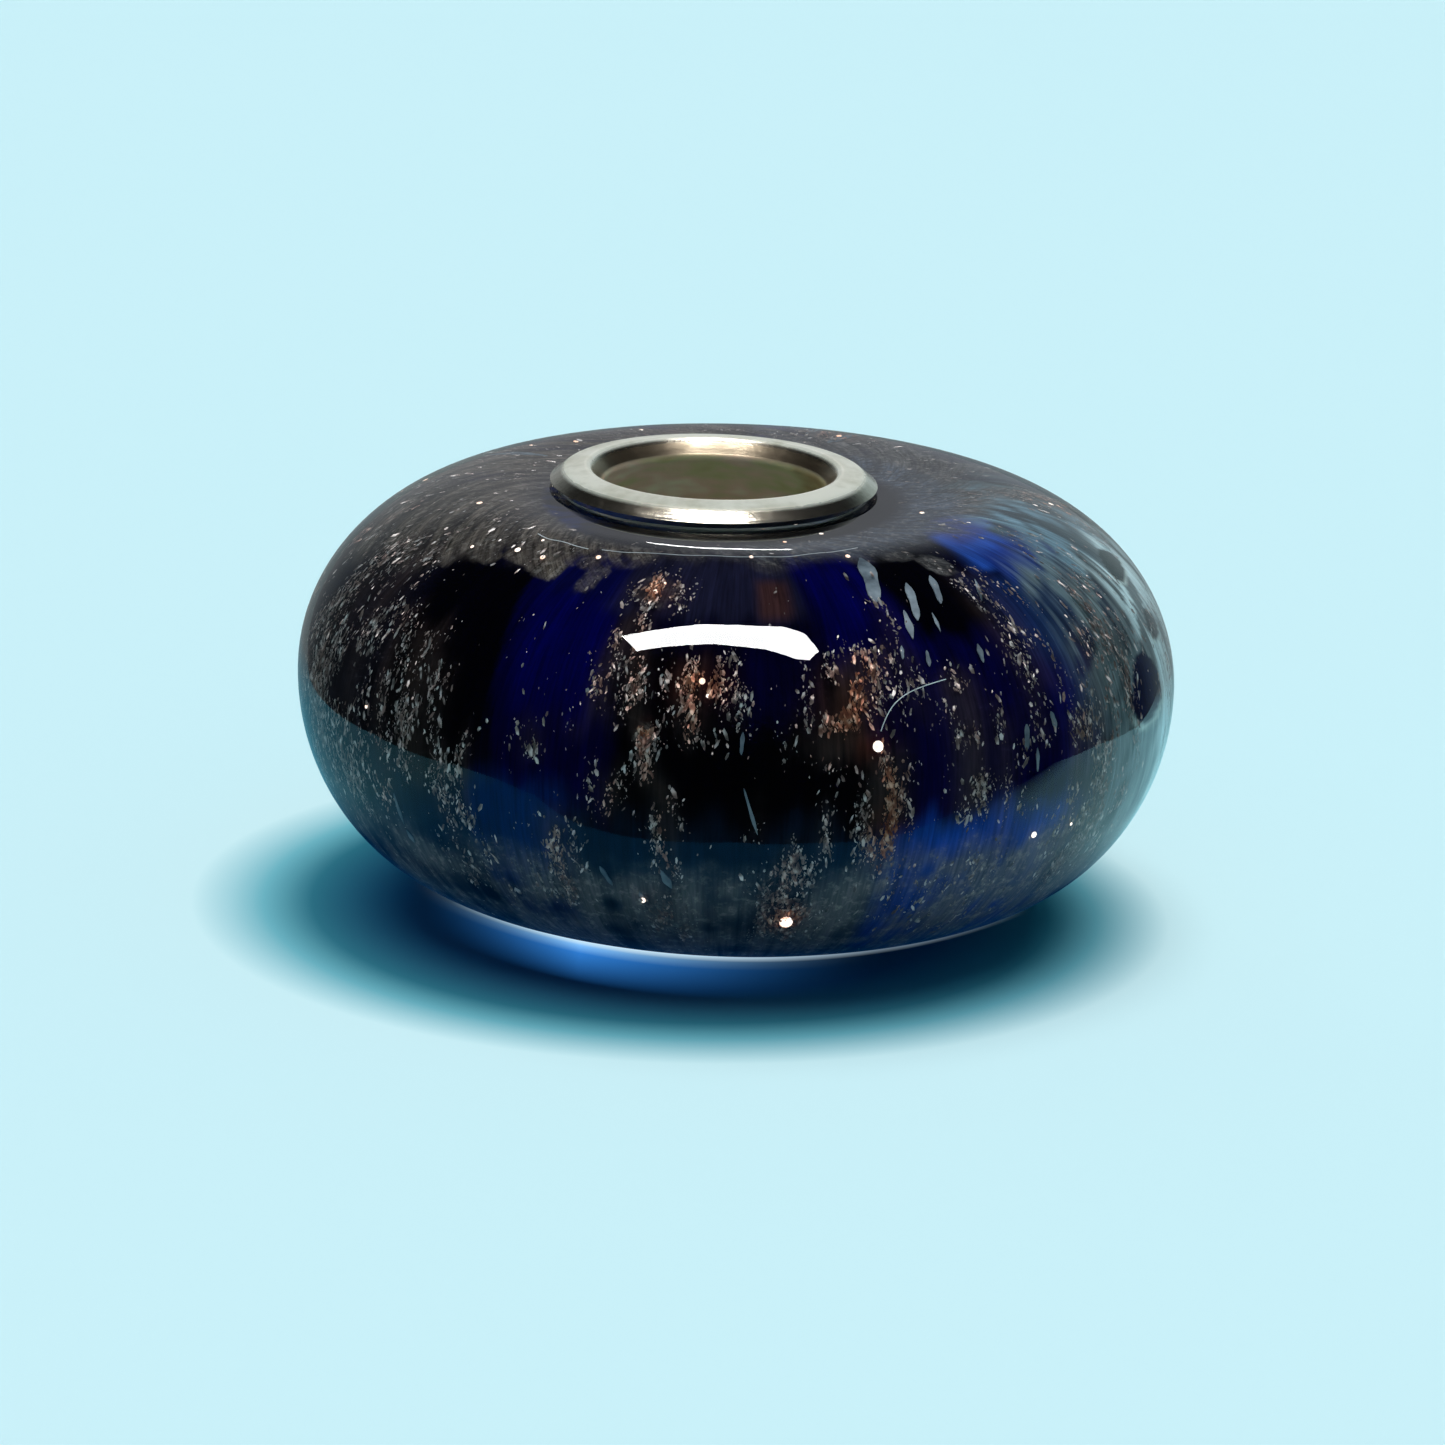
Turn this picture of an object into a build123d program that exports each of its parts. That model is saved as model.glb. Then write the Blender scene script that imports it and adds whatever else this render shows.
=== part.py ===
from build123d import *
from math import cos, radians, sin
import os

# A round glass charm bead on a flanged silver core. Millimetres, +Z up along the bore.
# The origin is on the bore's axis, level with the widest circle of the glass. Azimuth 0 faces -Y, 90 faces +X.

# Glass as a whole. It is a little higher below its widest circle than above it, and flat round the hole.
glass_diameter = 14.5
glass_rise = 3.17
glass_drop = 3.44
upper_crown_diameter = 7.64
lower_crown_diameter = 8.38
glass_offset = 0.46

# Layers of the glass: clear casing, cobalt body, and the gap that keeps them two solids.
casing_wall = 0.9
fused_gap = 0.03
hole_round = 0.3

# Silver core: a thin tube with a flange at each end that keeps the glass on it.
bore_diameter = 3.66
core_wall = 0.47
core_clearance = 0.05
flange_diameter = 5.4
flange_thickness = 0.27
flange_lift = 0.08
land_diameter = 4.9
land_fall = 0.06
land_round = 0.6
lip_round = 0.24
rim_round = 0.08
root_round = 0.1

# Goldstone streaks and pale silver slivers, melted flush into the cobalt body.
streak_width = 0.36
streak_depth = 0.25
sliver_width = 0.24
sliver_depth = 0.12
inlay_clearance = 0.03

# Streaks: azimuth in degrees, middle and length as shares of the half height of the cobalt body,
# width as a share of streak_width, lean in degrees (the upper end leans towards smaller azimuths).
STREAKS = [
    dict(azimuth=-73, middle=-0.12, length=0.95, width=1.3, lean=20),
    dict(azimuth=-60, middle=0.02, length=1.15, width=1.5, lean=22),
    dict(azimuth=-46, middle=-0.35, length=0.70, width=1.0, lean=14),
    dict(azimuth=-38, middle=-0.10, length=0.45, width=0.7, lean=6),
    dict(azimuth=-26, middle=-0.48, length=0.45, width=1.2, lean=8),
    dict(azimuth=-19, middle=0.58, length=0.35, width=0.8, lean=4),
    dict(azimuth=-12, middle=0.16, length=0.78, width=1.0, lean=14),
    dict(azimuth=-8, middle=-0.64, length=0.62, width=1.4, lean=8),
    dict(azimuth=-4, middle=0.54, length=0.32, width=1.3, lean=0),
    dict(azimuth=11, middle=-0.76, length=0.42, width=1.3, lean=10),
    dict(azimuth=15, middle=0.56, length=0.32, width=1.2, lean=12),
    dict(azimuth=21, middle=0.26, length=0.36, width=1.4, lean=30),
    dict(azimuth=23, middle=-0.40, length=0.58, width=1.2, lean=4),
    dict(azimuth=33, middle=0.20, length=0.60, width=1.1, lean=4),
    dict(azimuth=40, middle=0.14, length=0.78, width=1.0, lean=6),
    dict(azimuth=55, middle=-0.30, length=0.90, width=1.5, lean=28),
    dict(azimuth=66, middle=-0.10, length=0.70, width=1.3, lean=24),
    dict(azimuth=88, middle=-0.20, length=0.85, width=1.2, lean=14),
    dict(azimuth=106, middle=0.10, length=0.70, width=1.0, lean=10),
    dict(azimuth=127, middle=-0.25, length=0.95, width=1.4, lean=16),
    dict(azimuth=149, middle=0.22, length=0.55, width=0.9, lean=8),
    dict(azimuth=166, middle=-0.30, length=0.80, width=1.2, lean=12),
    dict(azimuth=188, middle=0.08, length=1.00, width=1.3, lean=18),
    dict(azimuth=209, middle=-0.40, length=0.60, width=1.0, lean=6),
    dict(azimuth=228, middle=0.15, length=0.90, width=1.4, lean=20),
    dict(azimuth=250, middle=-0.05, length=0.75, width=1.1, lean=12),
    dict(azimuth=269, middle=0.05, length=1.00, width=1.2, lean=16),
]

# Slivers: azimuth in degrees, middle and length as shares of the glass radius.
SLIVERS = [
    dict(azimuth=29, middle=0.57, length=0.16),
    dict(azimuth=33, middle=0.70, length=0.12),
    dict(azimuth=38, middle=0.67, length=0.15),
    dict(azimuth=46, middle=0.62, length=0.12),
    dict(azimuth=158, middle=0.66, length=0.14),
    dict(azimuth=236, middle=0.60, length=0.13),
]

# Sizes that follow from the ones above.
glass_radius = glass_diameter / 2
cobalt_rise = glass_rise - casing_wall
bore_radius = bore_diameter / 2
tube_radius = bore_radius + core_wall
hole_radius = tube_radius + core_clearance
flange_radius = flange_diameter / 2
land_radius = land_diameter / 2
seat_top = glass_rise + flange_lift
seat_bottom = -glass_drop - flange_lift
core_top = seat_top + flange_thickness
core_bottom = seat_bottom - flange_thickness
glass_centre = Vector(glass_offset, 0, 0)
glass_axis = Axis(glass_centre, (0, 0, 1))
glass_section = Plane(origin=glass_centre, x_dir=(1, 0, 0), z_dir=(0, -1, 0))


def glass_body(inset):
    """A solid round of glass whose surface lies `inset` inside the bead's outer surface."""
    radius = glass_radius - inset
    rise = glass_rise - inset
    drop = glass_drop - inset
    upper = upper_crown_diameter / 2
    lower = lower_crown_diameter / 2
    with BuildPart() as body:
        with BuildSketch(glass_section):
            with BuildLine():
                Line((0, -drop), (0, rise))
                Line((0, rise), (upper, rise))
                EllipticalCenterArc((upper, 0), radius - upper, rise, start_angle=0, arc_size=90)
                EllipticalCenterArc((lower, 0), radius - lower, drop, start_angle=270, arc_size=90)
                Line((lower, -drop), (0, -drop))
            make_face()
        revolve(axis=glass_axis)
    return body.part


def outward(azimuth):
    """Unit vector from the glass's own axis out through the given azimuth."""
    return Vector(sin(radians(azimuth)), -cos(radians(azimuth)), 0)


def streak_prism(row, grow):
    """Round-ended bar that runs straight out through the side of the glass, `grow` larger all round."""
    away = outward(row["azimuth"])
    face = Plane(origin=glass_centre, x_dir=Vector(0, 0, 1).cross(away), z_dir=away)
    long = row["length"] * cobalt_rise + 2 * grow
    wide = row["width"] * streak_width + 2 * grow
    with BuildPart() as prism:
        with BuildSketch(face):
            with Locations((0, row["middle"] * cobalt_rise)):
                SlotOverall(long, wide, rotation=90 + row["lean"])
        extrude(amount=glass_radius)
    return prism.part


def sliver_prism(row, grow):
    """Leaf-shaped bar that stands up through the shoulder of the glass, `grow` larger all round."""
    face = Plane(origin=glass_centre, x_dir=outward(row["azimuth"]), z_dir=(0, 0, 1))
    with BuildPart() as prism:
        with BuildSketch(face):
            with Locations((row["middle"] * glass_radius, 0)):
                Ellipse(row["length"] * glass_radius / 2 + grow, sliver_width / 2 + grow)
        extrude(amount=glass_rise)
    return prism.part


def surface_layer(prism, depth):
    """The stretch of a prism that lies within `depth` under the cobalt body's surface."""
    with BuildPart() as layer:
        add(prism)
        add(cobalt_round, mode=Mode.INTERSECT)
        add(glass_body(casing_wall + depth), mode=Mode.SUBTRACT)
    return layer.part


def keep(part, name):
    """Label a finished piece and write it to its own file."""
    part.label = name
    export_step(part, f"parts/{name}.step")
    print(name, "volume", round(part.volume, 3), "solids", len(part.solids()))


os.makedirs("parts", exist_ok=True)
cobalt_round = glass_body(casing_wall)

# Silver core: one turned and flared tube. Each flange has a flat land that falls away to its rim.
with BuildPart() as silver_core:
    with BuildSketch(Plane.XZ) as core_section:
        with BuildLine():
            Polyline(
                (bore_radius, core_top),
                (land_radius, core_top),
                (flange_radius, core_top - land_fall),
                (flange_radius, seat_top),
                (tube_radius, seat_top),
                (tube_radius, seat_bottom),
                (flange_radius, seat_bottom),
                (flange_radius, core_bottom + land_fall),
                (land_radius, core_bottom),
                (bore_radius, core_bottom),
                close=True,
            )
        make_face()
        corners = core_section.vertices().group_by(Axis.X)
        for ring, round_radius in zip(corners, (lip_round, root_round, land_round, rim_round)):
            fillet(ring, round_radius)
    revolve(axis=Axis.Z)
keep(silver_core.part, "silver_core")

# Clear casing: the bead's outer surface, open at the hole, with a flame-rounded edge at both mouths.
with BuildPart() as clear_casing:
    add(glass_body(0))
    add(glass_body(casing_wall - fused_gap), mode=Mode.SUBTRACT)
    with Locations((0, 0, glass_rise)):
        Hole(hole_radius, depth=glass_rise + glass_drop)
    rings = clear_casing.edges().filter_by(GeomType.CIRCLE)
    levels = rings.group_by(Axis.Z)
    mouths = levels[0].sort_by(SortBy.RADIUS)[:1] + levels[-1].sort_by(SortBy.RADIUS)[:1]
    fillet(mouths, hole_round)
keep(clear_casing.part, "clear_casing")

# Cobalt body: fills the casing, and has a groove for every streak and sliver.
streak_grooves = [
    surface_layer(streak_prism(row, inlay_clearance), streak_depth + inlay_clearance) for row in STREAKS
]
sliver_grooves = [
    surface_layer(sliver_prism(row, inlay_clearance), sliver_depth + inlay_clearance) for row in SLIVERS
]
with BuildPart() as cobalt_body:
    add(cobalt_round)
    with Locations((0, 0, cobalt_rise)):
        Hole(hole_radius, depth=glass_rise + glass_drop)
    add(streak_grooves + sliver_grooves, mode=Mode.SUBTRACT)
keep(cobalt_body.part, "cobalt_body")

# Inlays: each streak and sliver fills its groove up to the cobalt body's surface.
for number, row in enumerate(STREAKS, start=1):
    keep(surface_layer(streak_prism(row, 0), streak_depth), f"goldstone_streak_{number:02d}")
for number, row in enumerate(SLIVERS, start=1):
    keep(surface_layer(sliver_prism(row, 0), sliver_depth), f"silver_sliver_{number}")
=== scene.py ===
# %% [markdown]
# # A round glass charm bead on a silver core
# The bead is lampworked: a flanged silver tube carries a fat ring of dark cobalt glass. Crushed goldstone
# and slivers of silver leaf lie on the cobalt, and a thick coat of clear glass closes over them. Each step
# below says what the piece is, how it could be made, and why this way was chosen. Everything is in metres,
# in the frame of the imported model, so a piece goes where the solids say.

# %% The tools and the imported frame
from math import cos, pi, radians, sin

import bpy
import bmesh
import numpy as np
from mathutils import Matrix, Vector


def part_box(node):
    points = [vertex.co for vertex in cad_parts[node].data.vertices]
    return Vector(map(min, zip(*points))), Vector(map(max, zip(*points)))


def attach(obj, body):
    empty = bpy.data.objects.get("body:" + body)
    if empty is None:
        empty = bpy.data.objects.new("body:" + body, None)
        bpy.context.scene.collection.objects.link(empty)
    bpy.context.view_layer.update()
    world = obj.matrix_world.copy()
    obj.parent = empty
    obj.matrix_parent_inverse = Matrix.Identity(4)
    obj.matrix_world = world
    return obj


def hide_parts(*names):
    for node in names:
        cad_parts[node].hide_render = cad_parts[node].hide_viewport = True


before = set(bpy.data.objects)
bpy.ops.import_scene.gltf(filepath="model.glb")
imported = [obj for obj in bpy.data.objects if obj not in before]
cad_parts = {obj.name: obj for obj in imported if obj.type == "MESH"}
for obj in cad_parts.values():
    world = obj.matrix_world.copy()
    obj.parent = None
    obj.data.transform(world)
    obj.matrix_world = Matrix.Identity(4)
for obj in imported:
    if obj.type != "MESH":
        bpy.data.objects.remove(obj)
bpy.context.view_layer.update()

# %% [markdown]
# ## The sizes that every piece shares
# The glass is flat round the hole, and falls away from there in an ellipse's quarter, above and below. It
# sits a little to the right of the bore. Outer sizes are read from the solids, so they can't drift from
# them.

# %% Sizes, in metres
mm = 0.001
casing_low, casing_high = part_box("clear_casing")
core_low, core_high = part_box("silver_core")

glass_radius = (casing_high.x - casing_low.x) / 2
glass_shift = (casing_high.x + casing_low.x) / 2
glass_rise, glass_drop = casing_high.z, -casing_low.z
wall = glass_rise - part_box("cobalt_body")[1].z
upper_crown, lower_crown = 3.82 * mm, 4.19 * mm
hole_radius, hole_round, fused_gap = 2.35 * mm, 0.3 * mm, 0.03 * mm
floor_level = core_low.z
print("glass radius", round(glass_radius, 6), "shift", round(glass_shift, 6), "wall", round(wall, 6))

# %% [markdown]
# ## A bench for wiring nodes
# Shaders and Geometry Nodes are both trees of nodes. Written out one node at a time they hide the idea, so
# a small class wraps a socket: adding, multiplying or comparing such wires adds the Math nodes by itself.

# %% A socket that can be used in sums, and the bench that holds its tree
def sum_of(operation, swapped=False):
    """A method for one of Python's operators, which adds a Math node."""
    def method(wire, other):
        return wire.bench.math(operation, *((other, wire) if swapped else (wire, other)))
    return method


class Wire:
    """One output socket. Arithmetic on it adds Math nodes to its tree."""

    __add__, __radd__ = sum_of("ADD"), sum_of("ADD", swapped=True)
    __sub__, __rsub__ = sum_of("SUBTRACT"), sum_of("SUBTRACT", swapped=True)
    __mul__, __rmul__ = sum_of("MULTIPLY"), sum_of("MULTIPLY", swapped=True)
    __truediv__, __gt__ = sum_of("DIVIDE"), sum_of("GREATER_THAN")

    def __init__(self, bench, socket):
        self.bench, self.socket = bench, socket

    def between(self, low, high):
        """0 below low, 1 above high, and an even rise from one to the other."""
        return self.bench.make("ShaderNodeMapRange", {"Value": self, "From Min": low, "From Max": high})


class Bench:
    """A node tree that is being wired up."""

    def __init__(self, tree):
        self.tree = tree

    def node(self, kind, inputs=None, settings=None):
        """A new node: its settings first, then a value or a wire for each input."""
        made = self.tree.nodes.new(kind)
        for key, value in (settings or {}).items():
            setattr(made, key, value)
        for key, value in (inputs or {}).items():
            if isinstance(value, Wire):
                self.tree.links.new(value.socket, made.inputs[key])
            else:
                made.inputs[key].default_value = value
        return made

    def out(self, node, name=0):
        return Wire(self, node.outputs[name])

    def make(self, kind, inputs=None, settings=None):
        """A new node's first output."""
        return self.out(self.node(kind, inputs, settings))

    def math(self, operation, *values):
        return self.make("ShaderNodeMath", dict(enumerate(values)), {"operation": operation})

    def vector_math(self, operation, *values):
        made = self.node("ShaderNodeVectorMath", dict(enumerate(values)), {"operation": operation})
        return self.out(made, 1 if operation == "LENGTH" else 0)

    def scaled(self, vector, factor):
        return self.make("ShaderNodeVectorMath", {0: vector, "Scale": factor}, {"operation": "SCALE"})

    def split(self, vector):
        """The x, y and z of a vector."""
        parts = self.node("ShaderNodeSeparateXYZ", {0: vector})
        return [self.out(parts, axis) for axis in "XYZ"]

    def joined(self, x=0.0, y=0.0, z=0.0):
        return self.make("ShaderNodeCombineXYZ", {"X": x, "Y": y, "Z": z})

    def mix(self, factor, first, second, blend="MIX"):
        """Two colours, mixed by a number or a wire."""
        first, second = (c if isinstance(c, Wire) else (*c, 1) for c in (first, second))
        made = self.node("ShaderNodeMix", {0: factor, 6: first, 7: second},
                         {"data_type": "RGBA", "blend_type": blend})
        return self.out(made, 2)

    def ramp(self, factor, stops):
        """A colour for each value of a factor, from (place, colour) stops."""
        made = self.node("ShaderNodeValToRGB", {0: factor})
        elements = made.color_ramp.elements
        while len(elements) < len(stops):
            elements.new(0.5)
        for element, (place, colour) in zip(elements, stops):
            element.position, element.color = place, (*colour, 1)
        return self.out(made)


class Finish(Bench):
    """A material, with its Principled shader ready to be fed."""

    def __init__(self, name, **constants):
        self.material = bpy.data.materials.new(name)
        self.material.use_nodes = True
        super().__init__(self.material.node_tree)
        self.tree.nodes.clear()
        self.shader = self.node("ShaderNodeBsdfPrincipled", constants)
        self.output = self.node("ShaderNodeOutputMaterial")
        self.tree.links.new(self.shader.outputs[0], self.output.inputs[0])
        self.place = self.out(self.node("ShaderNodeTexCoord"), "Object")

    def millimetres(self):
        """The x, y and z of a place, in millimetres."""
        return self.split(self.scaled(self.place, 1 / mm))

    def feed(self, name, wire):
        self.tree.links.new(wire.socket, self.shader.inputs[name])

    def noise(self, scale, detail=2.0, roughness=0.5, place=None):
        return self.make("ShaderNodeTexNoise", {
            "Vector": place or self.place, "Scale": scale, "Detail": detail, "Roughness": roughness})

    def attribute(self, name, output="Fac"):
        return self.out(self.node("ShaderNodeAttribute", {}, {"attribute_name": name}), output)

    def bump(self, height, strength, distance):
        self.feed("Normal", self.make("ShaderNodeBump", {
            "Height": height, "Strength": strength, "Distance": distance}))


def placed(name, data):
    """An object for a mesh, curve, lamp or camera, put in the scene."""
    made = bpy.data.objects.new(name, data)
    bpy.context.scene.collection.objects.link(made)
    return made


print("bench ready")

# %% [markdown]
# ## A tree that turns a section into a ring
# The casing, the cobalt and the silver core are all turned shapes. A lathe or the Screw modifier would make
# them, but the glass has one more rule: its hole isn't in its middle. So one Geometry Nodes tree sweeps a
# section round a circle, slides the outer part of it sideways, and gives flame-polished glass the slight
# wobble that a hand-turned bead has. Its inputs are named for what they do.

# %% The turning tree
def new_tree(name, inputs):
    """An empty Geometry Nodes tree with a geometry input, named inputs and a geometry output."""
    tree = bpy.data.node_groups.new(name, "GeometryNodeTree")
    for label, kind in {"Geometry": "NodeSocketGeometry", **inputs}.items():
        tree.interface.new_socket(label, in_out="INPUT", socket_type=kind)
    tree.interface.new_socket("Geometry", in_out="OUTPUT", socket_type="NodeSocketGeometry")
    bench = Bench(tree)
    return bench, {s.name: Wire(bench, s) for s in bench.node("NodeGroupInput").outputs if s.name}


number, whole, finish_input = "NodeSocketFloat", "NodeSocketInt", "NodeSocketMaterial"
turning, given = new_tree("Turned ring", {
    "Segments": whole, "Path Radius": number, "Side Shift": number, "Shift From": number, "Shift To": number,
    "Wobble": number, "Wobble Scale": number, "Outside": finish_input, "Cavity": finish_input})
path = turning.make("GeometryNodeCurvePrimitiveCircle", {
    "Resolution": given["Segments"], "Radius": given["Path Radius"]}, {"mode": "RADIUS"})
section = turning.make("GeometryNodeMeshToCurve", {"Mesh": given["Geometry"]})
ring = turning.make("GeometryNodeCurveToMesh", {"Curve": path, "Profile Curve": section})
ring_x, ring_y, _ = turning.split(turning.make("GeometryNodeInputPosition"))
slide = turning.make("ShaderNodeMapRange", {
    "Value": turning.vector_math("LENGTH", turning.joined(ring_x, ring_y)), "From Min": given["Shift From"],
    "From Max": given["Shift To"], "To Max": given["Side Shift"]}, {"interpolation_type": "SMOOTHSTEP"})
ripple = turning.make("ShaderNodeTexNoise", {"Scale": given["Wobble Scale"], "Detail": 1.0})
push = turning.scaled(turning.make("GeometryNodeInputNormal"), (ripple - 0.5) * given["Wobble"])
inner = turning.make("GeometryNodeInputNamedAttribute", {"Name": "cavity"}, {"data_type": "FLOAT"})
for step, inputs in (
        ("SetPosition", {"Offset": turning.joined(slide)}), ("SetPosition", {"Offset": push}),
        ("SetShadeSmooth", {}), ("RealizeInstances", {}), ("SetMaterial", {"Material": given["Outside"]}),
        ("SetMaterial", {"Selection": inner > 0.5, "Material": given["Cavity"]})):
    ring = turning.make("GeometryNode" + step, {"Geometry": ring, **inputs})
turning.node("NodeGroupOutput", {0: ring})

path_radius, merge_distance = 5 * mm, 1e-7
casing_segments, cobalt_segments, core_segments = 224, 448, 192


def finished(name, source, tree, values):
    """Runs a tree on an object and returns its result as a plain mesh object, with no modifier left."""
    modifier = source.modifiers.new("Nodes", "NODES")
    modifier.node_group = tree
    sockets = {s.name: s.identifier for s in tree.interface.items_tree if s.in_out == "INPUT"}
    for label, value in values.items():
        modifier[sockets[label]] = value
    mesh = bpy.data.meshes.new_from_object(source.evaluated_get(bpy.context.evaluated_depsgraph_get()))
    mesh.name = name
    bpy.data.objects.remove(source)
    return placed(name, mesh)


def turned(name, points, segments, finish, cavity_finish=None, cavity=None, **values):
    """A closed section of (radius, height) points, turned round the bore's axis."""
    mesh = bpy.data.meshes.new(name + "_section")
    count = len(points)
    edges = [(i, (i + 1) % count) for i in range(count)]
    mesh.from_pydata([(r - path_radius, -z, 0) for r, z in points], edges, [])
    mesh.attributes.new("cavity", "FLOAT", "POINT").data.foreach_set("value", cavity or [0.0] * count)
    piece = finished(name, placed(name + "_section", mesh), turning.tree, {
        "Segments": segments, "Path Radius": path_radius, "Side Shift": 0.0, "Shift From": 1.0,
        "Shift To": 2.0, "Wobble": 0.0, "Wobble Scale": 100.0,
        "Outside": finish, "Cavity": cavity_finish or finish, **values})
    shell = bmesh.new()
    shell.from_mesh(piece.data)
    bmesh.ops.remove_doubles(shell, verts=shell.verts, dist=merge_distance)
    bmesh.ops.recalc_face_normals(shell, faces=shell.faces)
    open_edges = sum(1 for e in shell.edges if len(e.link_faces) != 2)
    shell.to_mesh(piece.data)
    shell.free()
    print(name, "faces", len(piece.data.polygons), "open edges", open_edges)
    return piece


# %% [markdown]
# ## Sections of the glass
# Both glass pieces follow the same outline, one inside the other, so one function gives it at any depth.

# %% The outline of the glass at a depth below its surface
def outline(inset, steps):
    """From the upper crown's edge over the widest circle to the lower crown's edge, as (radius, height)."""
    points = []
    for crown, height, way in ((upper_crown, glass_rise - inset, 1), (lower_crown, glass_drop - inset, -1)):
        run = glass_radius - inset - crown
        turns = [radians(90 * i / steps) for i in range(steps + 1)]
        for a in turns[::-1] if way == 1 else turns[1:]:
            points.append((crown + run * cos(a), way * height * sin(a)))
    return points


def flat_run(start, end, height, steps):
    """Points between two radii on a flat crown, both ends left out."""
    return [(start + (end - start) * i / steps, height) for i in range(1, steps)]


def quarter(centre, radius, start, steps):
    """A quarter round that turns clockwise from an angle in degrees."""
    turns = [radians(start - 90 * i / steps) for i in range(steps + 1)]
    return [(centre[0] + radius * cos(a), centre[1] + radius * sin(a)) for a in turns]


def casing_section(steps=40, few=6):
    """The casing's closed section, with a mark on the points that face the cobalt."""
    edge, depth = hole_radius + hole_round, wall - fused_gap
    skin = quarter((edge, glass_rise - hole_round), hole_round, 180, few)
    skin += flat_run(edge, upper_crown, glass_rise, few) + outline(0, steps)
    skin += flat_run(lower_crown, edge, -glass_drop, few)
    skin += quarter((edge, -glass_drop + hole_round), hole_round, 270, few)
    low, high = -glass_drop + depth, glass_rise - depth
    lining = [(hole_radius, low)] + flat_run(hole_radius, lower_crown, low, few)
    lining += outline(depth, steps)[::-1]
    lining += flat_run(upper_crown, hole_radius, high, few) + [(hole_radius, high)]
    return skin + lining, [0.0] * len(skin) + [1.0] * len(lining)


section_points, section_marks = casing_section()
print("casing section points", len(section_points))

# %% [markdown]
# ## The clear casing
# On the real bead this is about a millimetre of clear soda glass, fire polished. Its job in the picture is
# to bend the view of what lies below it and to mirror the studio. A clear coat on the cobalt would give the
# mirror but no depth, so the casing is a real shell of glass. Its inner skin lies close over the cobalt,
# where two glasses are fused and nothing is mirrored, so the inner faces are fully open. Light for what is
# inside comes straight through: a Light Path node swaps the glass for a Transparent shader on shadow and
# diffuse rays.

# %% The glass finish
def glass_finish():
    glass = Finish("clear_glass", **{"Base Color": (0.97, 0.99, 1.0, 1), "Roughness": 0.0, "IOR": 1.5,
                                     "Transmission Weight": 1.0})
    ways = glass.node("ShaderNodeLightPath")
    straight = glass.math("MAXIMUM", glass.out(ways, "Is Shadow Ray"), glass.out(ways, "Is Diffuse Ray"))
    swap = glass.node("ShaderNodeMixShader", {0: straight})
    for slot, node in ((1, glass.shader), (2, glass.node("ShaderNodeBsdfTransparent"))):
        glass.tree.links.new(node.outputs[0], swap.inputs[slot])
    glass.tree.links.new(swap.outputs[0], glass.output.inputs[0])
    glass.bump(glass.noise(350, 1.0), 0.06, 0.1 * mm)
    return glass.material


clear_glass = glass_finish()
fused_face = Finish("fused_face", **{"Base Color": (1, 1, 1, 1), "Roughness": 0.5, "Alpha": 0.0}).material
casing = turned(
    "clear_casing_shell", section_points, casing_segments, clear_glass, fused_face, section_marks, **{
        "Side Shift": glass_shift, "Shift From": hole_radius + hole_round, "Shift To": upper_crown,
        "Wobble": 0.03 * mm, "Wobble Scale": 220.0})
print("casing slots", [m.name for m in casing.data.materials])

# %% [markdown]
# ## Places on the cobalt
# The pattern lies on the cobalt's surface, so places on it are named by two angles. Azimuth goes round the
# glass, 0 at the front and 90 at the right. Climb goes over its shoulder: 0 on the widest circle, 90 at the
# upper crown's edge, -90 at the lower one's, and beyond 90 it goes on across the flat crown towards the
# hole.

# %% Angles to points, and points to angles
core_glass = glass_radius - wall
crown_step = 0.05 * mm


def surface_point(azimuth, climb, lift=0.0):
    """The point on the cobalt at two angles in degrees, raised by lift, and the outward normal there."""
    crown = upper_crown if climb >= 0 else lower_crown
    height = (glass_rise if climb >= 0 else glass_drop) - wall
    c = radians(min(max(climb, -90), 90))
    run = core_glass - crown
    reach = crown + run * cos(c) - max(abs(climb) - 90, 0) * crown_step
    out = Vector((cos(c) / run, sin(c) / height)).normalized()
    side = Vector((sin(radians(azimuth)), -cos(radians(azimuth)), 0))
    normal = side * out.x + Vector((0, 0, out.y))
    return side * reach + Vector((glass_shift, 0, height * sin(c))) + normal * lift, normal


def angles(points):
    """Azimuth and climb, in degrees, of an array of points on the cobalt."""
    x, y, z = points[:, 0] - glass_shift, points[:, 1], points[:, 2]
    reach = np.hypot(x, y)
    crown = np.where(z >= 0, upper_crown, lower_crown)
    height = np.where(z >= 0, glass_rise, glass_drop) - wall
    climb = np.degrees(np.arctan2(np.abs(z) / height, (reach - crown) / (core_glass - crown)))
    flat_part = (reach < crown) & (np.abs(z) > 0.97 * height)
    climb = np.where(flat_part, 90 + (crown - reach) / crown_step, np.minimum(climb, 90))
    return np.degrees(np.arctan2(x, -y)), np.where(z >= 0, climb, -climb)


print("front of the widest circle", [round(v / mm, 3) for v in surface_point(0, 0)[0]])
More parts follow.
